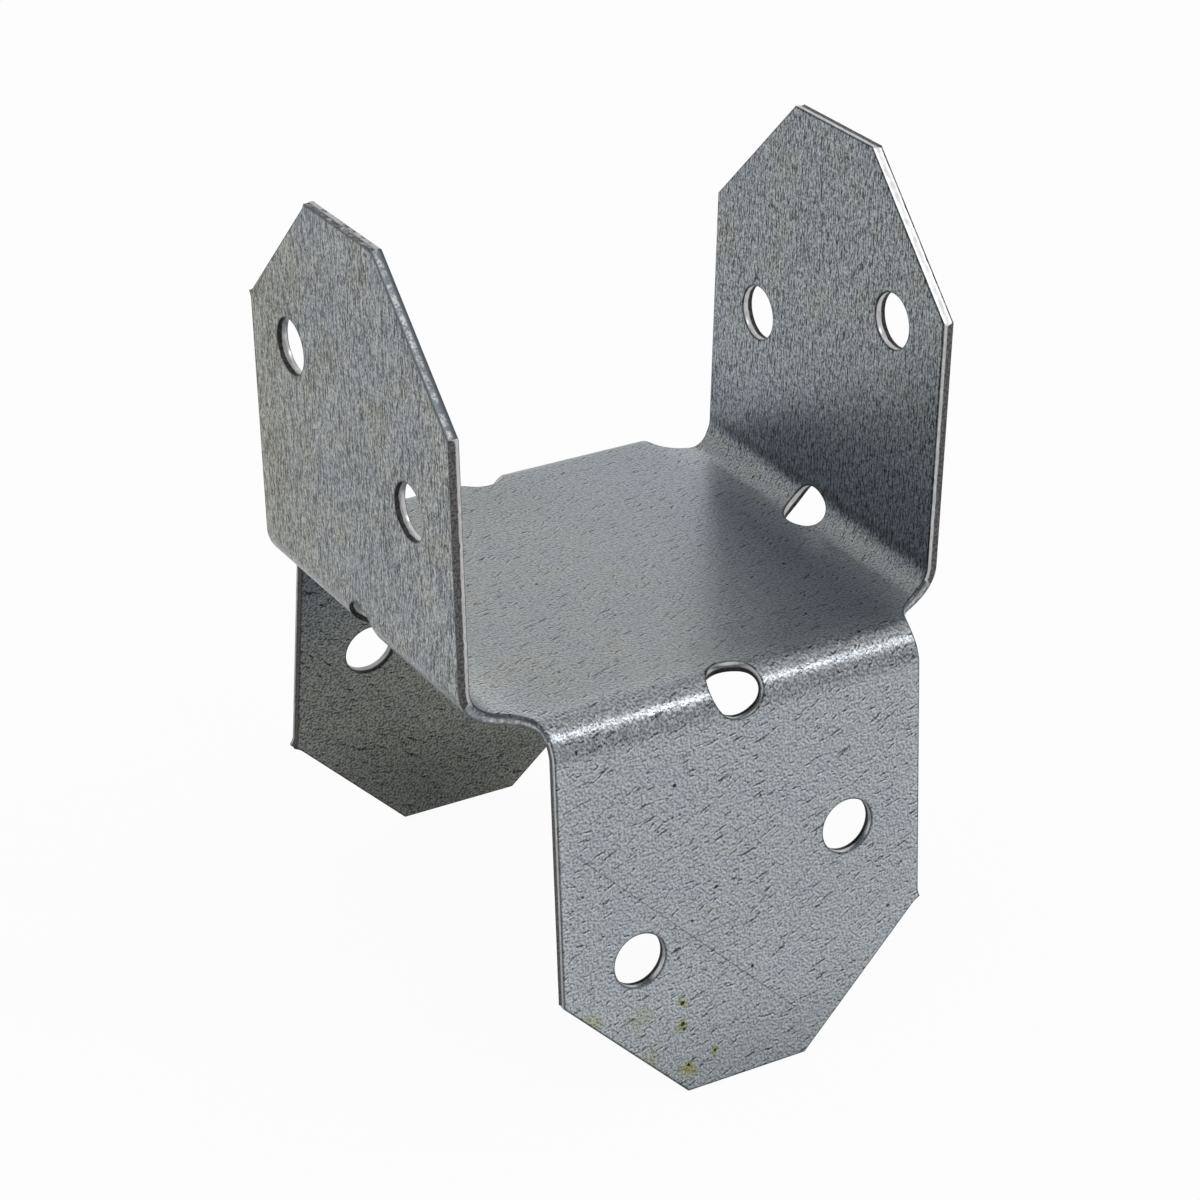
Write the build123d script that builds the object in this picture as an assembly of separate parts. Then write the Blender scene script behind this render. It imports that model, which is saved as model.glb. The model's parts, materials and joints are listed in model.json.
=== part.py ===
from build123d import *
import math
import os

# Rigid tie connector: one galvanized sheet, cut as a cross and folded.
# Two opposite flanges stand up from the square web and grip a timber above it.
# The other two hang down and grip a timber below it that runs the other way.
# X runs across the two upper flanges, Y across the two lower ones, and +Z is up.
# The origin is the middle of the web's upper face, where the upper timber sits.
# All lengths are in millimetres and all angles in degrees.

# Sheet, and the gaps between the flanges at their folds
sheet = 0.9
upper_inside_width = 39.9
lower_inside_width = 40.4
inside_bend_radius = 2.1

# Flanges, as if folded square: width, reach past the web, and width of the end
flange_width = 31.8
flange_reach = 32.75
tip_width = 10.6

# Each flange has sprung open past square by its own angle
right_splay = 1.35
left_splay = 1.4
front_splay = 3.5
back_splay = 7.2

# Fastener holes, two to a flange and staggered: distance from the flange's
# middle line, and height past the web
hole_diameter = 4.4
far_hole_offset = 9.25
far_hole_height = 20.05
near_hole_offset = 9.3
near_hole_height = 14.05

# Hole in the middle of each fold
bend_hole_diameter = 4.4

# Round reliefs at the web's corners. The back ones are small and cut deep, with
# their centres this far out past the flanges' side edges. The front ones are
# wider, and run smoothly into the side edges.
back_relief_radius = 3.2
back_relief_offset = 2.95
front_relief_radius = 4.2

# Worked out from the sizes above
upper_fold_line = upper_inside_width / 2 - inside_bend_radius
lower_fold_line = lower_inside_width / 2 - inside_bend_radius
outside_bend_radius = inside_bend_radius + sheet
neutral_radius = inside_bend_radius + sheet / 2
shoulder_reach = flange_reach - (flange_width - tip_width) / 2
fold_width = 2 * lower_fold_line


def web():
    """The flat plate between the four folds."""
    outline = Rectangle(2 * upper_fold_line, 2 * lower_fold_line)
    return extrude(Plane.XY.offset(-sheet) * outline, amount=sheet)


def fold(fold_line, turn):
    """Fold that rises at +X: the sheet bent round the inside radius by the turn.

    It is as wide as the web here. The corner reliefs bring it to its own width.
    """
    centre = (fold_line, inside_bend_radius)
    inner = CenterArc(centre, inside_bend_radius, -90, turn)
    outer = CenterArc(centre, outside_bend_radius, -90, turn)
    ends = Line(inner @ 0, outer @ 0) + Line(inner @ 1, outer @ 1)
    section = make_face(inner + outer + ends)
    return extrude(Plane.XZ * section, amount=fold_width / 2, both=True)


def blade_plane(fold_line, turn):
    """Plane of the flange's inner face, from the fold's end upwards and facing out."""
    angle = math.radians(turn)
    x = fold_line + inside_bend_radius * math.sin(angle)
    z = inside_bend_radius * (1 - math.cos(angle))
    outwards = (math.sin(angle), 0, -math.cos(angle))
    return Plane(origin=(x, 0, z), x_dir=(0, 1, 0), z_dir=outwards)


def blade_outline():
    """Flat shape past the fold: straight sides, corners clipped at 45 degrees, narrow end."""
    half_width = flange_width / 2
    half_tip = tip_width / 2
    shoulder = shoulder_reach - inside_bend_radius
    tip = flange_reach - inside_bend_radius
    corners = [
        (-half_width, 0),
        (half_width, 0),
        (half_width, shoulder),
        (half_tip, tip),
        (-half_tip, tip),
        (-half_width, shoulder),
    ]
    return make_face(Polyline(*corners, close=True))


def fastener_holes():
    """The two staggered holes, drawn on the blade's plane."""
    hole = Circle(hole_diameter / 2)
    far = Pos(-far_hole_offset, far_hole_height - inside_bend_radius)
    near = Pos(near_hole_offset, near_hole_height - inside_bend_radius)
    return far * hole + near * hole


def flange(fold_line, splay):
    """Fold and blade on the +X side, rising from the web."""
    turn = 90 - splay
    drilled = blade_outline() - fastener_holes()
    blade = extrude(blade_plane(fold_line, turn) * drilled, amount=sheet)
    return fold(fold_line, turn) + blade


def bend_hole(fold_line, splay):
    """Cutter for the round hole that is punched on the fold before folding.

    Folding draws the hole's two far ends together, so square to the fold's
    bisector its section is an ellipse.
    """
    radius = bend_hole_diameter / 2
    half_turn = math.radians(90 - splay) / 2
    on_arc = min(radius, neutral_radius * half_turn)
    past_arc = radius - on_arc
    across = neutral_radius * math.sin(on_arc / neutral_radius) + past_arc * math.cos(half_turn)
    bisector = (math.sin(half_turn), 0, -math.cos(half_turn))
    plane = Plane(origin=(fold_line, 0, inside_bend_radius), x_dir=(0, 1, 0), z_dir=bisector)
    return extrude(plane * Ellipse(radius, across), amount=2 * outside_bend_radius)


def corner_relief(radius, offset):
    """Cutter at the corner of +X and +Y, where two neighbouring folds would meet.

    It is a round notch, and past it everything outside the flanges' side edges.
    """
    edge = flange_width / 2
    centre = edge + offset
    span = 2 * outside_bend_radius + offset
    middle = edge + span / 2
    notch = Pos(centre, centre) * Circle(radius)
    past_x = Pos(centre + span / 2, middle) * Rectangle(span, span)
    past_y = Pos(middle, centre + span / 2) * Rectangle(span, span)
    height = 2 * outside_bend_radius + sheet
    return extrude(Plane.XY.offset(-height / 2) * (notch + past_x + past_y), amount=height)


def corner_reliefs():
    """Cutters for all four corners of the web."""
    back = corner_relief(back_relief_radius, back_relief_offset)
    front = mirror(corner_relief(front_relief_radius, front_relief_radius), about=Plane.XZ)
    return [back, mirror(back, about=Plane.YZ), front, mirror(front, about=Plane.YZ)]


def placed(shape, facing, hangs):
    """Turn what was made for the +X side to its own side, and fold it down if it hangs."""
    if hangs:
        shape = mirror(shape, about=Plane.XY.offset(-sheet / 2))
    return Rot(Z=facing) * shape


def folded_sheet():
    """The whole connector: the web with its four flanges, then the holes and reliefs."""
    sides = [
        (0, upper_fold_line, right_splay, False),
        (180, upper_fold_line, left_splay, False),
        (-90, lower_fold_line, front_splay, True),
        (90, lower_fold_line, back_splay, True),
    ]
    tie = web()
    for facing, fold_line, splay, hangs in sides:
        tie += placed(flange(fold_line, splay), facing, hangs)
    for facing, fold_line, splay, hangs in sides:
        tie -= placed(bend_hole(fold_line, splay), facing, hangs)
    for cutter in corner_reliefs():
        tie -= cutter
    return tie


os.makedirs("parts", exist_ok=True)
export_step(folded_sheet(), "parts/folded_sheet.step")
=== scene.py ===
import json
import math
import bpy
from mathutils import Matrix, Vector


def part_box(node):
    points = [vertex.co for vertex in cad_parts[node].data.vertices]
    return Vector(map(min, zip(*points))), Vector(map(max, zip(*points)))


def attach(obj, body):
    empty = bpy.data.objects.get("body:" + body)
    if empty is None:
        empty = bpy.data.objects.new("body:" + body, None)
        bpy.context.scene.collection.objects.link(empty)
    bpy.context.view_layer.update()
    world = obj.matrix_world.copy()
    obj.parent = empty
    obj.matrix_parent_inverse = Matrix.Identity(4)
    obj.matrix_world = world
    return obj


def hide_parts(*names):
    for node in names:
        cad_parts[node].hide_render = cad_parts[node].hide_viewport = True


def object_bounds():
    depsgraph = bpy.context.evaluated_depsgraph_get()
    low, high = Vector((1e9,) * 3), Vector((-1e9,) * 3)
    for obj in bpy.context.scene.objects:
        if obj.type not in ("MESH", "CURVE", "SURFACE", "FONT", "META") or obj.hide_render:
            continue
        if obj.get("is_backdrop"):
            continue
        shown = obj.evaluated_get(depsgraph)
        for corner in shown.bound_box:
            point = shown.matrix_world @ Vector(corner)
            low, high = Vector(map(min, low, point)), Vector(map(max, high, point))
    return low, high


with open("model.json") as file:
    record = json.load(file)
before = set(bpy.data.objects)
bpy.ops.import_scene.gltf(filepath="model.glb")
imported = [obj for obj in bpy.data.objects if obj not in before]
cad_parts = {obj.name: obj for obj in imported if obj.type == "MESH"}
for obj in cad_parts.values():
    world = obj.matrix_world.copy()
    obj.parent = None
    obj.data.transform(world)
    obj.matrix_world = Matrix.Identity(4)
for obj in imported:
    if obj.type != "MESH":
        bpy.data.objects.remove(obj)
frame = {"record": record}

from types import SimpleNamespace

import bpy
import numpy as np
from bpy.props import FloatProperty, FloatVectorProperty, PointerProperty
from mathutils import Matrix, Vector
from mathutils.geometry import delaunay_2d_cdt

bl_info = {
    "name": "Rigid tie connector",
    "version": (1, 0, 0),
    "blender": (4, 5, 0),
    "location": "3D View > Sidebar > Tie",
    "description": "A galvanized sheet, cut as a cross and folded to join two crossing timbers",
    "category": "Add Mesh",
}

NODE = "folded_sheet"
TAU = 2 * math.pi

# Millimetres in a metre
MM = 1000

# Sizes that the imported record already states
MOUNTS = {mount["name"]: mount for mount in frame["record"]["mounts"]}
SHEET = -MOUNTS["lower_seat"]["pos_m"][2]
HOLE_RADIUS = MOUNTS["right_flange_holes"]["dims"]["hole_r_mm"] / MM
SPLAY = {side: math.asin(abs(MOUNTS[side + "_flange_holes"]["axis"][2]))
         for side in ("right", "left", "front", "back")}


# Sizes and colours that a user would change


def length(name, default, description):
    return FloatProperty(name=name, default=default, description=description,
                         min=0, unit="LENGTH", subtype="DISTANCE", precision=4)


def turn(name, default, description):
    return FloatProperty(name=name, default=default, description=description,
                         unit="ROTATION", subtype="ANGLE")


def colour(name, default, description):
    return FloatVectorProperty(name=name, default=default, description=description,
                               size=3, min=0, max=1, subtype="COLOR")


class TieSheetSizes(bpy.types.PropertyGroup):
    sheet: length("Sheet", SHEET, "Thickness of the sheet")
    upper_width: length("Upper inside width", 0.0399, "Gap between the standing flanges")
    lower_width: length("Lower inside width", 0.0404, "Gap between the hanging flanges")
    inside_radius: length("Inside bend radius", 0.0021, "Radius on the inside of each fold")
    flange_width: length("Flange width", 0.0318, "Width of each flange")
    flange_reach: length("Flange reach", 0.03275, "Length of each flange past the web")
    tip_width: length("Tip width", 0.0106, "Width of a flange's end between its clipped corners")
    hole_radius: length("Hole radius", HOLE_RADIUS, "Radius of every round hole")
    far_offset: length("Far hole offset", 0.00925, "Far hole, from the flange's middle line")
    far_height: length("Far hole height", 0.02005, "Far hole, past the web")
    near_offset: length("Near hole offset", 0.0093, "Near hole, from the flange's middle line")
    near_height: length("Near hole height", 0.01405, "Near hole, past the web")
    back_relief: length("Back relief radius", 0.0032, "Notch radius at the web's back corners")
    back_offset: length("Back relief offset", 0.00295, "Notch centre, past the flanges' sides")
    front_relief: length("Front relief radius", 0.0042, "Notch radius at the web's front corners")
    right_splay: turn("Right splay", SPLAY["right"], "Lean of the right flange past square")
    left_splay: turn("Left splay", SPLAY["left"], "Lean of the left flange past square")
    front_splay: turn("Front splay", SPLAY["front"], "Lean of the front flange past square")
    back_splay: turn("Back splay", SPLAY["back"], "Lean of the back flange past square")


class TieSheetColours(bpy.types.PropertyGroup):
    zinc: colour("Zinc", (0.262, 0.278, 0.284), "Dull zinc coat")
    warm: colour("Warm patches", (0.264, 0.268, 0.218), "Olive bloom on the coat")
    # Also the painted bluish reflection on the web's right half and the right flange
    cool: colour("Cool patches", (0.205, 0.232, 0.27), "Blue bloom on the coat")
    stain: colour("Stain", (0.20, 0.20, 0.06), "Yellow green stains by the front tip")
    # Painted shade in the hollow of a fold
    crease_shade: colour("Crease", (0.07, 0.075, 0.085), "Dark coat in the hollow of a fold")
    # Pale crackle on a fold's ridge: partly the coat's cracks, partly painted glints breaking up
    # the fold's highlight
    ridge: colour("Ridge", (0.55, 0.57, 0.62), "Pale crackle on the outside of a fold")
    bare_cut: colour("Bare cut", (0.68, 0.68, 0.69), "Burnished part of a cut edge")
    torn_cut: colour("Torn cut", (0.107, 0.103, 0.104), "Torn part of a cut edge")
    smear: colour("Smear", (0.62, 0.62, 0.60), "Pale streak of coat smeared over a cut edge")


# Node trees written as sums


def opaque(shade):
    """A colour as the four numbers that a colour socket takes."""
    return (*shade, 1.0)


class Field:
    """An output socket in a node tree, so that a sum on it adds Math nodes."""

    def __init__(self, tree, socket=None):
        self.tree = tree
        self.socket = socket

    def node(self, kind, settings=None, inputs=None, output=0):
        """Adds any node: its settings first, then the values or links of its sockets."""
        made = self.tree.nodes.new(kind)
        for name, value in (settings or {}).items():
            setattr(made, name, value)
        for name, value in (inputs or {}).items():
            if isinstance(name, int):
                target = made.inputs[name]
            else:
                target = next(s for s in made.inputs if s.name == name and s.enabled)
            if isinstance(value, Field):
                self.tree.links.new(value.socket, target)
            else:
                target.default_value = value
        if isinstance(output, int):
            return Field(self.tree, made.outputs[output])
        return Field(self.tree, next(s for s in made.outputs if s.name == output and s.enabled))

    def into(self, kind, name):
        """Links this to the socket of that name on a new output node."""
        self.tree.links.new(self.socket, self.tree.nodes.new(kind).inputs[name])

    def math(self, operation, *others):
        """A Math node on this and other values."""
        values = dict(enumerate((self, *others)))
        return self.node("ShaderNodeMath", {"operation": operation}, values)

    def __add__(self, other):
        return self.math("ADD", other)

    def __mul__(self, other):
        return self.math("MULTIPLY", other)

    def __sub__(self, other):
        return self.math("SUBTRACT", other)

    def __truediv__(self, other):
        return self.math("DIVIDE", other)

    def __rsub__(self, other):
        return self.node("ShaderNodeMath", {"operation": "SUBTRACT"}, {0: other, 1: self})

    __radd__ = __add__
    __rmul__ = __mul__

    def ramp(self, low, high):
        """0 below low, 1 above high, and smooth between them. It falls where low is above high."""
        rising = low < high
        ends = {"From Min": min(low, high), "From Max": max(low, high),
                "To Min": 0.0 if rising else 1.0, "To Max": 1.0 if rising else 0.0}
        return self.node("ShaderNodeMapRange", {"interpolation_type": "SMOOTHSTEP"},
                         {"Value": self, **ends})

    def band(self, start, rise, fall, end):
        """Rises from start to rise, and falls from fall to end."""
        return self.ramp(start, rise) * self.ramp(end, fall)

    def colour(self, shade):
        """A plain colour."""
        made = self.node("ShaderNodeRGB")
        made.socket.default_value = opaque(shade)
        return made

    def mixed(self, other, factor):
        """This colour, going to another colour by the factor."""
        target = other if isinstance(other, Field) else opaque(other)
        return self.node("ShaderNodeMix", {"data_type": "RGBA"},
                         {"Factor": factor, "A": self, "B": target}, output="Result")

    def parts(self):
        """X, Y and Z of a vector."""
        split = self.node("ShaderNodeSeparateXYZ", None, {0: self})
        return [Field(self.tree, socket) for socket in split.socket.node.outputs]

    def stretched(self, x, y, z):
        """This vector times a factor along each axis."""
        return self.node("ShaderNodeVectorMath", {"operation": "MULTIPLY"},
                         {0: self, 1: (x, y, z)})

    def shifted(self, x, y, z):
        """This vector plus an offset."""
        return self.node("ShaderNodeVectorMath", {"operation": "ADD"}, {0: self, 1: (x, y, z)})

    def scaled(self, factor):
        """This vector or colour times one number."""
        return self.node("ShaderNodeVectorMath", {"operation": "SCALE"},
                         {"Vector": self, "Scale": factor})

    def turned(self, degrees):
        """This vector turned about Z."""
        return self.node("ShaderNodeVectorRotate", {"rotation_type": "Z_AXIS"},
                         {"Vector": self, "Angle": math.radians(degrees)})

    def noise(self, scale, detail=2.0, roughness=0.5, distortion=0.0):
        """Noise read at this vector."""
        return self.node("ShaderNodeTexNoise", {"noise_dimensions": "3D"},
                         {"Vector": self, "Scale": scale, "Detail": detail,
                          "Roughness": roughness, "Distortion": distortion})


def empty_desk(holder):
    """The node tree of a new material or world, with nothing in it yet."""
    holder.use_nodes = True
    holder.node_tree.nodes.clear()
    return Field(holder.node_tree)


# The flat blank, in millimetres, before it is folded


# How close the mesh's points are: along the outline, round a hole and a notch, on the faces,
# across a fold, and the least gap between the faces' inner points and their rims
OUTLINE_STEP = 0.22
HOLE_SIDES = 48
NOTCH_POINTS = 25
FACE_STEP = 0.8
FOLD_ROWS = 12
RIM_GAP = 0.3

# How deep the cut of a hole goes before it tears, and how far a burr pulls the sheet round it
HOLE_TEAR = 0.58
BURR_REACH = 0.7

# Wander of the cut edges: first seed, how many points it is smoothed over, and how much of it
# goes inwards
WANDER_SEED = 11
WANDER_POINTS = 5
WANDER_INWARDS = 0.25


class Blank:
    """Outline and holes of the cross, worked out from the sizes."""

    def __init__(self, sizes):
        self.sheet = sizes.sheet * MM
        self.radius = sizes.inside_radius * MM
        self.neutral = self.radius + self.sheet / 2
        self.half = sizes.flange_width * MM / 2
        self.half_tip = sizes.tip_width * MM / 2
        self.blade = sizes.flange_reach * MM - self.radius
        self.shoulder = self.blade - (self.half - self.half_tip)
        self.hole = sizes.hole_radius * MM
        self.lines = [width * MM / 2 - self.radius
                      for width in (sizes.upper_width, sizes.lower_width)]
        self.back_relief = (sizes.back_relief * MM, sizes.back_offset * MM)
        self.front_relief = (sizes.front_relief * MM, sizes.front_relief * MM)
        quarter = math.pi / 2
        self.turns = {"right": quarter - sizes.right_splay, "back": quarter - sizes.back_splay,
                      "left": quarter - sizes.left_splay, "front": quarter - sizes.front_splay}
        self.fastener_holes = [(sizes.far_height * MM - self.radius, -sizes.far_offset * MM),
                               (sizes.near_height * MM - self.radius, sizes.near_offset * MM)]

    def line(self, side):
        """Where a fold starts, from the blank's middle."""
        return self.lines[0 if side in ("right", "left") else 1]

    def arc(self, side):
        """Length of the fold's neutral arc."""
        return self.neutral * self.turns[side]

    def end(self, side):
        """Where a fold ends and the flange goes on flat."""
        return self.line(side) + self.arc(side)

    def place(self, side, u, v):
        """Blank coordinates of a point u out and v across in a flange."""
        return {"right": (u, v), "back": (-v, u), "left": (-u, -v), "front": (v, -u)}[side]

    def unrolled(self, distance, line):
        """Where a point at this distance from the middle of the folded part lies in the flat."""
        if distance <= line:
            return distance
        return line + self.neutral * math.asin((distance - line) / self.neutral)

    def notch(self, radius, offset):
        """Points of a notch in the corner of +X and +Y, from the right flange to the back one."""
        centre = self.half + offset
        end_gap = math.sqrt(max(0, radius ** 2 - offset ** 2))
        start = math.atan2(-offset, end_gap)
        end = math.atan2(end_gap, -offset) - TAU
        points = []
        for step in np.linspace(start, end, NOTCH_POINTS):
            x = centre + radius * math.cos(step)
            y = centre + radius * math.sin(step)
            points.append((self.unrolled(x, self.lines[0]), self.unrolled(y, self.lines[1])))
        return points

    def outline(self):
        """Corners and arcs of the cross, anticlockwise. With each comes how deep the cut that
        starts there goes before it tears, and how far the coat is smeared over it."""
        back, front = self.notch(*self.back_relief), self.notch(*self.front_relief)
        corner = {"right": (1, 1, back), "back": (-1, 1, back[::-1]),
                  "left": (-1, -1, front), "front": (1, -1, front[::-1])}
        points = []
        for side, (sign_x, sign_y, notch) in corner.items():
            smear = 0.85 if side == "left" else 0.0
            for u, v, tear, smeared in ((self.shoulder, -self.half, 0.86, 0.0),
                                        (self.blade, -self.half_tip, 0.45, smear / 2),
                                        (self.blade, self.half_tip, 0.86, smear),
                                        (self.shoulder, self.half, 0.38, 0.0)):
                points.append((*self.place(side, self.end(side) + u, v), tear, smeared))
            points += [(sign_x * x, sign_y * y, 0.75, 0.58) for x, y in notch[:-1]]
            points.append((sign_x * notch[-1][0], sign_y * notch[-1][1], 0.38, 0.0))
        return points

    def spurs(self):
        """Burrs that the blanking left on a few corners: where, and how far they stick out."""
        corners = [
            ("left", self.shoulder, -self.half, 0.30),
            ("front", self.shoulder, self.half, 0.22),
            ("back", self.shoulder, self.half, 0.28),
            ("left", self.blade, -self.half_tip, 0.18),
        ]
        for side, u, v, size in corners:
            corner = np.array(self.place(side, self.end(side) + u, v))
            yield corner, size * np.array(self.place(side, 0.15, math.copysign(1, v)))

    def holes(self):
        """Centre of every round hole."""
        centres = []
        for side in self.turns:
            for u, v in self.fastener_holes:
                centres.append(self.place(side, self.end(side) + u, v))
            centres.append(self.place(side, self.line(side) + self.arc(side) / 2, 0))
        return centres

    def lattice(self):
        """Inner points: a grid on the web and blades, and close rows across each fold."""
        step = FACE_STEP
        half_x, half_y = self.lines
        web_x = np.linspace(-half_x, half_x, round(2 * half_x / step) + 1)[1:-1]
        web_y = np.linspace(-half_y, half_y, round(2 * half_y / step) + 1)[1:-1]
        rows = [(x, y) for x in web_x for y in web_y]
        across = np.arange(-self.half + step / 2, self.half, step)
        wide = np.arange(-self.half - 2 * step + step / 2, self.half + 2 * step, step)
        for side in self.turns:
            fold = self.line(side) + self.arc(side) * np.arange(FOLD_ROWS + 1) / FOLD_ROWS
            blade = np.arange(self.end(side) + step / 2, self.end(side) + self.blade, step)
            rows += [self.place(side, u, v) for u in fold for v in wide]
            rows += [self.place(side, u, v) for u in blade for v in across]
        return np.array(rows)


def dense(points, step):
    """A closed loop with points no further apart than the step, and what each carries on."""
    result = []
    for start, end in zip(points, points[1:] + points[:1]):
        here, there = np.array(start[:2]), np.array(end[:2])
        count = max(1, math.ceil(np.linalg.norm(there - here) / step))
        result += [(*(here + (there - here) * i / count), *start[2:]) for i in range(count)]
    return np.array(result)


def outwards(loop):
    """Mitred unit offsets of a closed loop, away from the metal that lies on its left."""
    ahead = np.roll(loop, -1, 0) - loop
    ahead /= np.linalg.norm(ahead, axis=1)[:, None]
    normal = np.stack([ahead[:, 1], -ahead[:, 0]], 1)
    before = np.roll(normal, 1, 0)
    both = normal + before
    return 2 * both / (both ** 2).sum(1)[:, None]


def inside(points, loop):
    """Which points lie inside a closed loop."""
    x, y = points[:, 0][:, None], points[:, 1][:, None]
    x1, y1 = loop[:, 0][None], loop[:, 1][None]
    x2, y2 = np.roll(loop, -1, 0)[:, 0][None], np.roll(loop, -1, 0)[:, 1][None]
    spans = (y1 > y) != (y2 > y)
    with np.errstate(divide="ignore", invalid="ignore"):
        crossing = x < (x2 - x1) * (y - y1) / (y2 - y1) + x1
    return (spans & crossing).sum(1) % 2 == 1


def in_metal(points, rims):
    """Which points lie inside the outline, the first rim, and outside every hole."""
    keep = inside(points, rims[0])
    for rim in rims[1:]:
        keep &= ~inside(points, rim)
    return keep


def smooth_random(count, seed, size):
    """A closed run of random numbers from -1 to 1 that wander over a few points."""
    rng = np.random.default_rng(seed)
    run = rng.uniform(-1, 1, count)
    kernel = np.ones(size) / math.sqrt(size)
    padded = np.concatenate([run[-size:], run, run[:size]])
    return np.clip(np.convolve(padded, kernel, "same")[size:-size], -1, 1)


# Section of a cut edge, from the face the punch enters to the face it leaves:
# how far in from the outline, how deep, how much both wander, and how near the rim it is
EDGE_SECTION = [
    (0.30, 0.000, 0.00, 0.0),
    (0.13, 0.000, 0.00, 0.7),
    (0.06, 0.014, 0.00, 1.0),
    (0.017, 0.055, 0.00, 1.0),
    (0.00, 0.130, 0.00, 1.0),
    (0.00, 0.440, 0.05, 1.0),
    (0.030, 0.520, 0.05, 1.0),
    (0.045, 0.780, 0.03, 1.0),
    (0.030, 0.960, 0.01, 1.0),
    (0.055, 1.000, 0.00, 1.0),
    (0.30, 1.000, 0.00, 0.0),
]


def inner_points(blank, rims):
    """Points of a face inside its rims, and clear of them."""
    inner = blank.lattice()
    inner = inner[in_metal(inner, rims)]
    nearest = np.full(len(inner), np.inf)
    for chunk in np.array_split(np.concatenate(rims), 20):
        gap = np.linalg.norm(inner[:, None] - chunk[None], axis=2).min(1)
        nearest = np.minimum(nearest, gap)
    return inner[nearest > RIM_GAP]


def face_triangles(points, rims):
    """Triangles over a face's points, facing up. The rims' points come first, in order."""
    edges = []
    start = 0
    for rim in rims:
        edges += [(start + i, start + (i + 1) % len(rim)) for i in range(len(rim))]
        start += len(rim)
    found = delaunay_2d_cdt([Vector(p) for p in points], edges, [], 0, 1e-6)
    if len(found[0]) != len(points):
        raise RuntimeError("the blank's triangles moved its points")
    order = np.array([ids[0] for ids in found[3]])
    triangles = order[np.array(found[2])]
    triangles = triangles[in_metal(points[triangles].mean(1), rims)]
    a, b, c = (points[triangles[:, i]] for i in range(3))
    area = (b[:, 0] - a[:, 0]) * (c[:, 1] - a[:, 1]) - (b[:, 1] - a[:, 1]) * (c[:, 0] - a[:, 0])
    triangles[area < 0] = triangles[area < 0][:, ::-1]
    return triangles


def flat_mesh(blank, name):
    """Both faces of the blank and its cut edges, as a flat closed mesh in metres."""
    outline = dense(blank.outline(), OUTLINE_STEP)
    angles = -np.arange(HOLE_SIDES) / HOLE_SIDES * TAU
    circle = blank.hole * np.stack([np.cos(angles), np.sin(angles)], 1)
    holes = [circle + centre for centre in blank.holes()]
    loops = [outline[:, :2], *holes]
    tears = [outline[:, 2]] + [np.full(HOLE_SIDES, HOLE_TEAR)] * len(holes)
    smears = [outline[:, 3]] + [np.zeros(HOLE_SIDES)] * len(holes)
    offsets = [outwards(loop) for loop in loops]
    rims = [loop - EDGE_SECTION[0][0] * offset for loop, offset in zip(loops, offsets)]

    # Both faces, of the same triangles
    face_points = np.concatenate([*rims, inner_points(blank, rims)])
    triangles = face_triangles(face_points, rims)
    count = len(face_points)
    points = [np.column_stack([face_points, np.zeros(count)]),
              np.column_stack([face_points, np.full(count, -blank.sheet)])]
    marks = {"rim": [np.zeros(2 * count)], "tear": [np.full(2 * count, 0.5)],
             "smear": [np.zeros(2 * count)]}
    faces = triangles.tolist() + (triangles[:, ::-1] + count).tolist()

    # The cut edges between them
    start = 0
    total = 2 * count
    for index, (loop, offset) in enumerate(zip(loops, offsets)):
        size = len(loop)
        wander = smooth_random(size, WANDER_SEED + index, WANDER_POINTS)
        rings = [start + np.arange(size)]
        for inset, depth, play, rim in EDGE_SECTION[1:-1]:
            shift = inset + play * WANDER_INWARDS * np.abs(wander)
            ring = loop - shift[:, None] * offset
            points.append(np.column_stack([ring, -(depth + play * wander) * blank.sheet]))
            marks["rim"].append(np.full(size, rim))
            marks["tear"].append(tears[index])
            marks["smear"].append(smears[index])
            rings.append(total + np.arange(size))
            total += size
        rings.append(count + rings[0])
        for upper, lower in zip(rings, rings[1:]):
            quads = np.column_stack([upper, lower, np.roll(lower, -1), np.roll(upper, -1)])
            faces += quads.tolist()
        start += size
    points = np.concatenate(points)
    for corner, pull in blank.spurs():
        gap = np.linalg.norm(points[:, :2] - corner, axis=1)
        near = np.clip(1 - gap / BURR_REACH, 0, 1)
        points[:, :2] += (near ** 2)[:, None] * pull
    mesh = bpy.data.meshes.new(name)
    mesh.from_pydata((points / MM).tolist(), [], faces)
    for mark, values in marks.items():
        attribute = mesh.attributes.new(mark, "FLOAT", "POINT")
        attribute.data.foreach_set("value", np.concatenate(values).astype(np.float32))
    return mesh


# Folding, in Geometry Nodes


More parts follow.
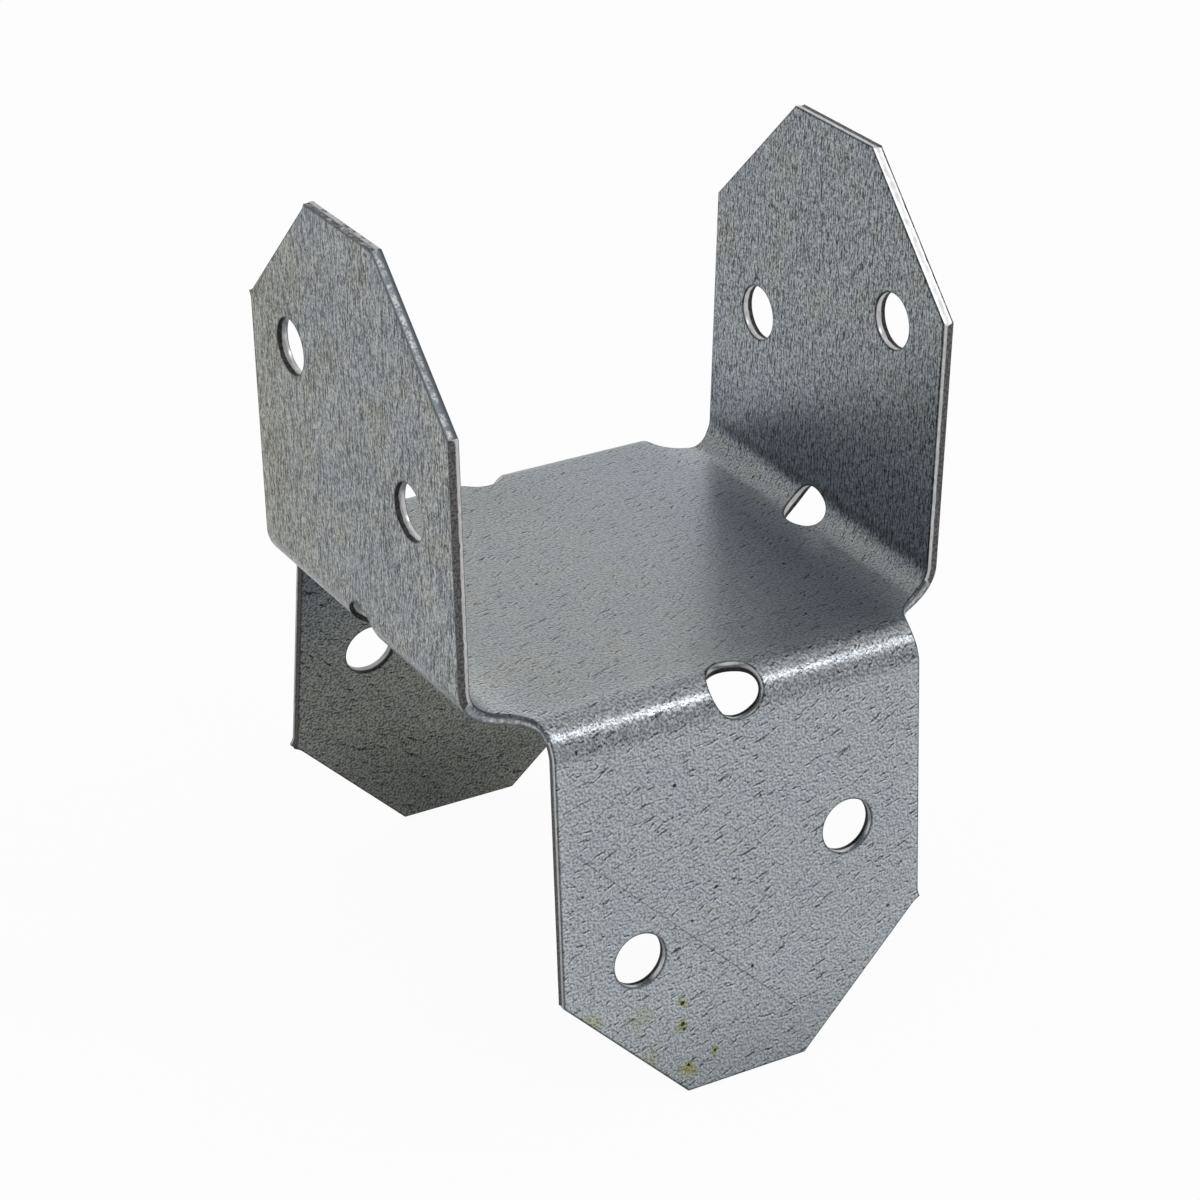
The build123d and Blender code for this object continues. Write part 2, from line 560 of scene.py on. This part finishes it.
def fold_tree():
    """Tree that folds the flat blank: the X flanges up and the Y flanges down."""
    tree = bpy.data.node_groups.new("Fold the blank", "GeometryNodeTree")
    tree.interface.new_socket("Geometry", in_out="INPUT", socket_type="NodeSocketGeometry")
    for name in ("Upper Fold Line", "Lower Fold Line", "Inside Radius", "Sheet",
                 "Right Turn", "Left Turn", "Front Turn", "Back Turn"):
        tree.interface.new_socket(name, in_out="INPUT", socket_type="NodeSocketFloat")
    tree.interface.new_socket("Material", in_out="INPUT", socket_type="NodeSocketMaterial")
    tree.interface.new_socket("Geometry", in_out="OUTPUT", socket_type="NodeSocketGeometry")
    desk = Field(tree)
    source = tree.nodes.new("NodeGroupInput")
    given = {socket.name: Field(tree, socket) for socket in source.outputs if socket.name}
    flat = desk.node("GeometryNodeInputPosition")
    stored = desk.node("GeometryNodeStoreNamedAttribute",
                       {"data_type": "FLOAT_VECTOR", "domain": "POINT"},
                       {"Geometry": given["Geometry"], "Name": "blank", "Value": flat})
    x, y, z = flat.parts()
    radius, sheet = given["Inside Radius"], given["Sheet"]
    neutral = radius + sheet / 2

    def folded(along, line, turn_ahead, turn_behind, near_radius):
        """Distance out and rise of a point, for the folds on both sides of one axis."""
        distance = along.math("ABSOLUTE")
        ahead = along.math("GREATER_THAN", 0.0)
        full_turn = turn_behind + (turn_ahead - turn_behind) * ahead
        past = (distance - line).math("MAXIMUM", 0.0)
        on_arc = past.math("MINIMUM", neutral * full_turn)
        straight = past - on_arc
        angle = on_arc / neutral
        out = (distance.math("MINIMUM", line) + near_radius * angle.math("SINE")
               + straight * full_turn.math("COSINE"))
        rise = (near_radius * (1 - angle.math("COSINE"))
                + straight * full_turn.math("SINE"))
        return out * along.math("SIGN"), rise

    up_x, up_rise = folded(x, given["Upper Fold Line"], given["Right Turn"],
                           given["Left Turn"], radius - z)
    down_y, down_rise = folded(y, given["Lower Fold Line"], given["Back Turn"],
                               given["Front Turn"], radius + sheet + z)
    place = desk.node("ShaderNodeCombineXYZ", None,
                      {"X": up_x, "Y": down_y, "Z": z + up_rise - down_rise})
    moved = desk.node("GeometryNodeSetPosition", None,
                      {"Geometry": stored, "Position": place})
    real = desk.node("GeometryNodeRealizeInstances", None, {"Geometry": moved})
    dressed = desk.node("GeometryNodeSetMaterial", None,
                        {"Geometry": real, "Material": given["Material"]})
    dressed.into("NodeGroupOutput", "Geometry")
    return tree


def through_nodes(flat_object, tree, values):
    """Plain mesh of the object after the tree, with the tree's named inputs given."""
    modifier = flat_object.modifiers.new(tree.name, "NODES")
    modifier.node_group = tree
    for item in tree.interface.items_tree:
        if item.in_out == "INPUT" and item.name in values:
            modifier[item.identifier] = values[item.name]
    bpy.context.view_layer.update()
    depsgraph = bpy.context.evaluated_depsgraph_get()
    mesh = bpy.data.meshes.new_from_object(flat_object.evaluated_get(depsgraph))
    flat_object.modifiers.remove(modifier)
    return mesh


# Galvanized zinc


# Scratches on the front flange, in millimetres on the blank: start, end and width
SCRATCHES = [
    ((-14.5, -29.5), (-5.9, -38.0), 0.07),
    ((-5.9, -38.0), (4.9, -48.7), 0.09),
    ((-4.7, -39.4), (-0.7, -38.9), 0.08),
]

# Spots of spilled flux by the front flange's end: place and radius, in millimetres
SPOTS = [
    ((-5.7, -44.7), 0.26),
    ((-5.7, -46.5), 0.26),
    ((-5.6, -47.0), 0.18),
    ((-2.9, -49.7), 0.18),
]

# Stains that the flux left around them: place, radius and strength
STAINS = [
    ((-5.7, -44.7), 0.65, 0.7),
    ((-5.7, -46.7), 0.8, 0.7),
    ((-2.9, -49.7), 0.5, 0.7),
    ((-5.3, -50.6), 1.1, 0.75),
    ((-13.8, -44.0), 1.4, 0.4),
    ((-9.4, -44.9), 1.6, 0.25),
    ((-8.7, -48.8), 1.3, 0.35),
]

# Scale, detail and roughness of the finest noise
FINE_GRAIN = (4.6, 2.0, 0.6)


def places_on_blank(desk, blank):
    """Masks of where a point lies on the blank, and the noise that the zinc's layers share."""

    def mark(name, output="Fac"):
        return desk.node("ShaderNodeAttribute", {"attribute_name": name}, output=output)

    at = SimpleNamespace(desk=desk, rim=mark("rim"), tear=mark("tear"), smear=mark("smear"))
    at.flat = mark("blank", "Vector").stretched(MM, MM, MM)
    at.x, at.y, z = at.flat.parts()
    width_x, width_y = at.x.math("ABSOLUTE"), at.y.math("ABSOLUTE")
    at.depth = z * (-1 / blank.sheet)
    at.top = at.depth.ramp(0.6, 0.4)
    at.under = 1 - at.top
    at.flange = width_x.math("MAXIMUM", width_y).ramp(blank.half, blank.half + 4)
    at.upper = width_x.ramp(blank.lines[0] + 1.5, blank.lines[0] + 4)
    at.right = at.x.ramp(20, 22)
    at.left = at.x.ramp(-19, -22)
    at.back = at.y.ramp(17, 21)

    # Where in a fold a point lies, from 0 at the web to 1 at the flange
    at.fold_x = (width_x - blank.lines[0]) / blank.arc("right")
    at.fold_y = (width_y - blank.lines[1]) / blank.arc("front")

    def in_folds(*stops):
        return at.fold_x.band(*stops) * at.top + at.fold_y.band(*stops) * at.under

    # Where each fold's hollow and crease take painted shade
    at.hollow = in_folds(0.78, 1.04, 0.9, 3.4)
    at.crease_shade = in_folds(0.96, 1.06, 1.10, 1.24)
    at.ridge = (at.fold_x.band(-0.1, 0.3, 0.8, 1.1) * at.under
                + at.fold_y.band(-0.1, 0.3, 0.8, 1.1) * at.top)
    at.foot = at.fold_x.band(-0.9, 0.0, 0.8, 1.6) * at.top
    # The web's right half, where the coat takes a painted bluish reflection and painted light
    at.web_right = at.x.ramp(0, 12) * at.fold_x.ramp(0.2, -0.3) * (1 - at.flange) * at.top

    at.mottle = at.flat.noise(0.11, 3.0, 0.55)
    at.bloom = at.flat.noise(0.22, 4.0, 0.6, 0.4)
    at.coarse = at.flat.noise(1.5, 3.0, 0.6)
    at.grain = at.flat.noise(*FINE_GRAIN)
    return at


def away_from(at, spot):
    """Distance from a place on the blank."""
    x, y = spot
    return ((at.x - x).math("POWER", 2.0) + (at.y - y).math("POWER", 2.0)).math("SQRT")


def scratch(at, start, end, width):
    """Mask of one fine wavering scratch."""
    (x1, y1), (x2, y2) = start, end
    span = math.hypot(x2 - x1, y2 - y1)
    step_x, step_y = (x2 - x1) / span, (y2 - y1) / span
    from_x, from_y = at.x + (at.coarse - 0.5) * 0.25 - x1, at.y - y1
    away = (from_x * step_y - from_y * step_x).math("ABSOLUTE")
    along = from_x * step_x + from_y * step_y
    return away.ramp(width, width / 3) * along.band(-0.3, 0.3, span - 0.3, span + 0.3)


def coat_colour(at, colours):
    """Zinc with olive and blue bloom, warmer and bluer on some flanges, a painted bluish
    reflection on the web's right half and the right flange, the flux's stains, and painted shade
    in the hollows and creases of the folds.
    """
    x, y = at.x, at.y
    tone = at.desk.colour(colours.zinc)
    tone = tone.mixed(colours.warm, at.bloom.ramp(0.50, 0.66) * (0.22 + at.upper * 0.25))
    tone = tone.mixed(colours.cool, at.bloom.ramp(0.50, 0.38) * (0.25 + at.upper * 0.1))
    tone = tone.mixed(colours.warm, at.back * at.under * 0.5
                      + x.ramp(-17, -21) * y.ramp(4, 14) * 0.6)
    # Bluer on the front flange and on the back flange's inner face near its left root; on the
    # web's right half this is a painted bluish reflection
    tone = tone.mixed(colours.cool, y.ramp(-17, -21) * 0.3 + at.web_right * 0.65
                      + at.back * y.ramp(38, 24) * x.ramp(4, -14) * at.under * 0.6)
    # Bluer all over the right flange, and more towards its root on the inner face as a painted
    # reflection
    tone = tone.mixed(colours.cool, at.right * (0.25 + x.ramp(36, 24) * 0.6 * at.top))
    ragged = (at.coarse - 0.5) * 1.6
    stained = sum((away_from(at, spot) + ragged * size).ramp(size, size * 0.3) * strength
                  for spot, size, strength in STAINS)
    tone = tone.mixed(colours.stain, stained.math("MINIMUM", 0.8) * at.top)
    # Painted shade in the hollows and creases of the folds
    return tone.mixed(colours.crease_shade, at.hollow * 0.5 + at.crease_shade * 0.25)


def strokes(at):
    """Light and dark of the grain: streaks along the rolling direction on the standing flanges,
    and short slanting dashes with a painted lit side, over painted light and shade of a fine
    relief, on the rest."""
    speckle = (at.grain.ramp(0.41, 0.59) - 0.5) * 0.8 + (at.coarse.ramp(0.3, 0.7) - 0.5) * 0.25

    fibres = at.flat.stretched(1.7, 6.0, 3.0).noise(1.0, 2.0, 0.6).ramp(0.42, 0.58) - 0.5
    streaks = at.flat.stretched(1.0, 7.0, 3.0).noise(1.0, 2.0, 0.65, 0.3).ramp(0.56, 0.615)
    rolls = at.flat.stretched(0.35, 5.5, 3.0).noise(1.0, 1.0, 0.5, 0.2).ramp(0.60, 0.70)
    rolled = fibres * 0.8 + speckle * 1.1 - streaks * 1.45 - rolls * 0.9 + 0.18

    long_dashes = at.flat.turned(-20).stretched(0.5, 3.0, 3.0).noise(1.0, 1.0, 0.5)
    dashes = long_dashes.ramp(0.66, 0.73) * 0.9
    for degrees, share in ((-8, at.mottle.ramp(0.60, 0.45)), (-30, at.mottle.ramp(0.42, 0.55))):
        place = at.flat.turned(degrees).stretched(1.0, 3.6, 3.0)
        dark = place.noise(1.0, 2.0, 0.55, 0.3).ramp(0.60, 0.69)
        # The pale twin beside each dark dash is a painted lit side
        pale = place.shifted(0.0, 0.45, 0.0).noise(1.0, 2.0, 0.55, 0.3).ramp(0.60, 0.69)
        dashes = dashes + (dark - pale * 0.5) * share
    # Painted light and shade of a fine relief, lit from one side
    painted_relief_shading = at.grain - at.flat.shifted(0.07, 0.09, 0.0).noise(*FINE_GRAIN)
    dashed = (speckle * (0.6 + at.back * at.under * 0.35) + painted_relief_shading * 1.2
              - dashes * (0.95 - at.back * 0.25))
    return (rolled * at.upper + dashed * (1 - at.upper)) * (0.8 + at.flange * 0.2)


def blots(at):
    """Dark marks: pits all over, and the flux's spots and the scratches on the front flange."""
    cells = at.desk.node("ShaderNodeTexVoronoi", None, {"Vector": at.flat, "Scale": 0.33})
    chance = Field(cells.tree, cells.socket.node.outputs["Color"]).parts()[0]
    pits = (cells + chance * 0.03).ramp(0.068, 0.045) * chance.ramp(0.9, 0.6)
    spots = sum(away_from(at, spot).ramp(size, size * 0.5) for spot, size in SPOTS)
    scratches = sum(scratch(at, *line) for line in SCRATCHES) * at.top
    return (pits * 0.95 + spots * 0.9 + scratches * at.coarse * 0.8).math("MINIMUM", 0.9)


def painted_light_and_shade(at):
    """Painted light and shade: how much lighter or darker the coat is painted on each flange, on
    the web and across the folds, standing in for how light falls on them, with some of the coat's
    own differences.
    """
    x, y, fold_x, fold_y = at.x, at.y, at.fold_x, at.fold_y
    # Painted light and shade on the flanges: the front one lighter, the back one's inner face
    # darker towards its end, the left one's outer face darker, part of the right one's inner face
    # lighter
    front = y.ramp(-16, -20) * 0.32 + y.ramp(-38, -46) * 0.13
    back = at.back * at.under * (0.08 - y.ramp(40, 50) * 0.3)
    left = at.left * at.under * (y.ramp(-4, -14) * 0.05 - 0.18)
    right = at.right * x.ramp(38, 28) * y.ramp(2, 12) * at.top * 0.14
    # Painted light on the web's right half, painted shade by its back left corner
    web = at.web_right * 0.09 - y.ramp(8, 15) * x.ramp(6, 0) * (1 - at.flange) * at.top * 0.08
    # Painted light on the web's foot before each side fold, painted shade across the side folds
    side_folds = (at.foot * fold_x.ramp(0.32, -0.05) * 0.38
                  - fold_x.ramp(0.1, 0.4) * (0.1 + fold_x.ramp(1.1, 0.85) * 0.1) * at.top)
    # Painted dark reflection bands on both sides of the highlight along the end folds
    end_folds = (fold_y.band(0.0, 0.2, 0.3, 0.48) * 0.08
                 + fold_y.band(0.52, 0.66, 0.86, 1.02) * 0.22) * at.top
    return 1.0 + front + back + left + right + web + side_folds - end_folds


def cut_edge(at, colours):
    """Colour of a cut edge, and how much rougher than the coat it is.

    It is burnished near the face the punch enters, torn and dark past it, and in places smeared
    over with coat. Along the back flange's left half it is painted darker, as shade.
    """
    torn = (at.depth - at.tear + (at.coarse - 0.5) * 0.3).ramp(-0.06, 0.06)
    polish = 0.72 + at.tear.ramp(0.6, 0.8) * 0.45
    bare = at.desk.colour(colours.bare_cut)
    bare = bare.scaled(polish * (0.85 + at.coarse.ramp(0.35, 0.65) * 0.3))
    split = at.desk.colour(colours.torn_cut).scaled(0.6 + at.grain.ramp(0.4, 0.6) * 0.9)
    split = split.scaled(1 - at.tear.ramp(0.40, 0.55) * 0.6)
    # Painted shade on the cut edges of the back flange's left half
    raw = bare.mixed(split, torn).scaled(1 - at.y.ramp(19, 22) * at.x.ramp(0, -4) * 0.4)

    smeared = (at.smear + (at.coarse - 0.5) * 0.8).ramp(0.3, 0.6)
    streak = at.depth.band(0.3, 0.5, 0.75, 0.95) * at.coarse.ramp(0.42, 0.58)
    coated = at.desk.colour(colours.zinc).mixed(colours.cool, 0.8)
    coated = coated.scaled(0.3 + at.depth.ramp(0.0, 0.7) * 0.75)
    coated = coated.mixed(colours.smear, streak * at.grain.ramp(0.35, 0.6))
    return raw.mixed(coated, smeared), (torn + smeared) * 0.3


def zinc_material(colours, blank):
    """Dull zinc coat with its grain, bloom, marks and crackled folds, and bare cut edges, with
    painted light and shade on its faces and folds, painted glints and shade on the folds' ridges,
    and a painted reflection on the web.
    """
    material = bpy.data.materials.new("galvanized_zinc")
    desk = empty_desk(material)
    at = places_on_blank(desk, blank)

    rim_line = at.rim.ramp(0.35, 0.95) * 0.7
    shade = (1.06 + strokes(at)).math("MAXIMUM", 0.15) * (1 - blots(at)) * (1 - rim_line)
    # Painted light and shade per face and fold, and the folds' ridges painted darker to dim their
    # highlight
    tone = coat_colour(at, colours).scaled(shade * painted_light_and_shade(at) * (1 - at.ridge * 0.25))
    # Where the ridges take pale crackle: partly the coat's cracks, partly painted glints in the
    # fold's highlight
    crackle_and_glint = at.grain.ramp(0.46, 0.60) * at.coarse.ramp(0.36, 0.60)
    tone = tone.mixed(colours.ridge, at.ridge * crackle_and_glint * 0.4)
    cut = at.depth.band(0.05, 0.12, 0.985, 0.999)
    edge_tone, edge_roughness = cut_edge(at, colours)
    tone = tone.mixed(edge_tone, cut)

    roughness = (0.30 + (at.grain - 0.5) * 0.12 + (at.mottle - 0.5) * 0.15
                 + cut * edge_roughness + at.foot * 0.12 + at.ridge * (at.coarse - 0.5) * 0.5)
    height = at.grain * 0.35 + at.ridge * (at.coarse * 1.5 + at.grain)
    bump = desk.node("ShaderNodeBump", None,
                     {"Height": height, "Strength": 0.4, "Distance": 0.00004})
    coat = desk.node("ShaderNodeBsdfPrincipled", None,
                     {"Base Color": tone, "Metallic": 0.9, "Roughness": roughness,
                      "Normal": bump})
    coat.into("ShaderNodeOutputMaterial", "Surface")
    return material


# Pieces


def check_box(piece, tolerance=0.0003):
    """Stops the script where the folded piece's box isn't the CAD solid's."""
    low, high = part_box(NODE)
    for axis in range(3):
        values = [vertex.co[axis] for vertex in piece.data.vertices]
        if abs(min(values) - low[axis]) > tolerance or abs(max(values) - high[axis]) > tolerance:
            raise RuntimeError(f"the folded sheet departs from the CAD box on axis {axis}: "
                               f"{min(values):.5f} to {max(values):.5f}, "
                               f"and not {low[axis]:.5f} to {high[axis]:.5f}")


# Faces that meet at more than this keep a sharp edge
SHARP_ANGLE = math.radians(50)


class TIE_OT_folded_sheet(bpy.types.Operator):
    """Cut the blank, fold it and give it its zinc coat"""

    bl_idname = "tie.folded_sheet"
    bl_label = "Folded sheet"

    def execute(self, context):
        sizes = context.scene.tie_sheet_sizes
        blank = Blank(sizes)
        flat = bpy.data.objects.new("flat_blank", flat_mesh(blank, "flat_blank"))
        context.scene.collection.objects.link(flat)
        values = {
            "Upper Fold Line": blank.lines[0] / MM,
            "Lower Fold Line": blank.lines[1] / MM,
            "Inside Radius": sizes.inside_radius,
            "Sheet": sizes.sheet,
            "Right Turn": blank.turns["right"],
            "Left Turn": blank.turns["left"],
            "Front Turn": blank.turns["front"],
            "Back Turn": blank.turns["back"],
            "Material": zinc_material(context.scene.tie_sheet_colours, blank),
        }
        mesh = through_nodes(flat, fold_tree(), values)
        bpy.data.objects.remove(flat)
        mesh.name = "tie_sheet"
        mesh.shade_smooth()
        mesh.set_sharp_from_angle(angle=SHARP_ANGLE)
        piece = bpy.data.objects.new("tie_sheet", mesh)
        context.scene.collection.objects.link(piece)
        check_box(piece)
        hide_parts(NODE)
        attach(piece, "root")
        return {"FINISHED"}


# Stage


# The camera at the photograph's angle: place, direction, roll, and focal length as a share
# of the image's width
CAMERA_PLACE = Vector((-0.1276365, -0.2187353, 0.1275109))
CAMERA_AIM = Vector((0.4486, 0.7679, -0.4572))
CAMERA_ROLL = math.radians(0.104)
FOCAL_SHARE = 3639.74 / 1200

# The one lamp: place and side in metres, and power in watts
KEY_PLACE = Vector((0.30, -0.355, 0.482))
KEY_SIDE = 0.08
KEY_POWER = 0.45

# Half the side of the floor, in metres
FLOOR_HALF = 3.0


def facing(place, direction, roll=0.0):
    """Matrix that puts an object at a place, looking along a direction."""
    turned = direction.to_track_quat("-Z", "Y").to_matrix() @ Matrix.Rotation(roll, 3, "Z")
    return Matrix.Translation(place) @ turned.to_4x4()


def seen_directly(desk):
    """1 for rays from the camera, and 1 for rays off a gloss or through glass."""
    path = desk.node("ShaderNodeLightPath").socket.node
    camera, glossy, through = [Field(desk.tree, path.outputs[name]) for name in
                               ("Is Camera Ray", "Is Glossy Ray", "Is Transmission Ray")]
    return camera, glossy + through


def set_world(scene):
    """White to look at, and a plain even fill for the rest."""
    world = bpy.data.worlds.new("studio")
    desk = empty_desk(world)
    camera, others = seen_directly(desk)
    strength = (camera + others).math("MINIMUM", 1.0) * 0.35 + 0.65
    light = desk.node("ShaderNodeBackground", None,
                      {"Color": opaque((1, 1, 1)), "Strength": strength})
    light.into("ShaderNodeOutputWorld", "Surface")
    scene.world = world


def floor_material():
    """Pale floor that stays white in the picture and takes a faint shadow."""
    material = bpy.data.materials.new("pale_floor")
    desk = empty_desk(material)
    matt = desk.node("ShaderNodeBsdfDiffuse", None, {"Color": opaque((0.9, 0.9, 0.9))})
    glow = desk.node("ShaderNodeEmission", None, {"Color": opaque((1, 1, 1)), "Strength": 1.0})
    x, y, _ = desk.node("ShaderNodeTexCoord", output="Object").parts()
    away = x.math("ABSOLUTE").math("MAXIMUM", y.math("ABSOLUTE")).ramp(0.020, 0.045)
    camera, others = seen_directly(desk)
    share = (camera * 0.95 + others * (0.1 + away * 0.75)).math("MINIMUM", 1.0)
    both = desk.node("ShaderNodeMixShader", None, {0: share, 1: matt, 2: glow})
    both.into("ShaderNodeOutputMaterial", "Surface")
    return material


def add_floor(scene):
    """A wide square under the tie."""
    half, level = FLOOR_HALF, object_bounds()[0].z
    corners = [(-half, -half, level), (half, -half, level),
               (half, half, level), (-half, half, level)]
    mesh = bpy.data.meshes.new("floor")
    mesh.from_pydata(corners, [], [(0, 1, 2, 3)])
    mesh.materials.append(floor_material())
    floor = bpy.data.objects.new("floor", mesh)
    scene.collection.objects.link(floor)
    floor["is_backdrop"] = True


def add_key(scene):
    """A square soft lamp, aimed at the tie."""
    lamp = bpy.data.lights.new("key", "AREA")
    lamp.shape = "SQUARE"
    lamp.size = KEY_SIDE
    lamp.energy = KEY_POWER
    holder = bpy.data.objects.new("key", lamp)
    holder.matrix_world = facing(KEY_PLACE, -KEY_PLACE)
    scene.collection.objects.link(holder)


def add_camera(scene):
    """The camera at the photograph's angle."""
    camera = bpy.data.cameras.new("camera")
    camera.sensor_width = 36
    camera.lens = FOCAL_SHARE * camera.sensor_width
    camera.clip_start = 0.01
    camera.clip_end = 20
    holder = bpy.data.objects.new("camera", camera)
    holder.matrix_world = facing(CAMERA_PLACE, CAMERA_AIM, CAMERA_ROLL)
    scene.collection.objects.link(holder)
    scene.camera = holder


class TIE_OT_stage(bpy.types.Operator):
    """Lay the pale floor and set the world, the soft lamp and the camera"""

    bl_idname = "tie.stage"
    bl_label = "Stage"

    def execute(self, context):
        scene = context.scene
        scene.view_settings.view_transform = "Standard"
        set_world(scene)
        add_floor(scene)
        add_key(scene)
        add_camera(scene)
        return {"FINISHED"}


class TIE_PT_panel(bpy.types.Panel):
    """Sizes, colours and pieces of the tie"""

    bl_idname = "TIE_PT_panel"
    bl_label = "Rigid tie connector"
    bl_space_type = "VIEW_3D"
    bl_region_type = "UI"
    bl_category = "Tie"

    def draw(self, context):
        layout = self.layout
        for group in (context.scene.tie_sheet_sizes, context.scene.tie_sheet_colours):
            for name in group.bl_rna.properties.keys():
                if name not in ("rna_type", "name"):
                    layout.prop(group, name)
        for operator in (TIE_OT_folded_sheet, TIE_OT_stage):
            layout.operator(operator.bl_idname)


CLASSES = (TieSheetSizes, TieSheetColours, TIE_OT_folded_sheet, TIE_OT_stage, TIE_PT_panel)


def register():
    for item in CLASSES:
        bpy.utils.register_class(item)
    bpy.types.Scene.tie_sheet_sizes = PointerProperty(type=TieSheetSizes)
    bpy.types.Scene.tie_sheet_colours = PointerProperty(type=TieSheetColours)


def unregister():
    del bpy.types.Scene.tie_sheet_colours
    del bpy.types.Scene.tie_sheet_sizes
    for item in reversed(CLASSES):
        bpy.utils.unregister_class(item)


def main():
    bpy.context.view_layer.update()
    register()
    bpy.ops.tie.folded_sheet()
    bpy.ops.tie.stage()


if __name__ == "__main__":
    main()
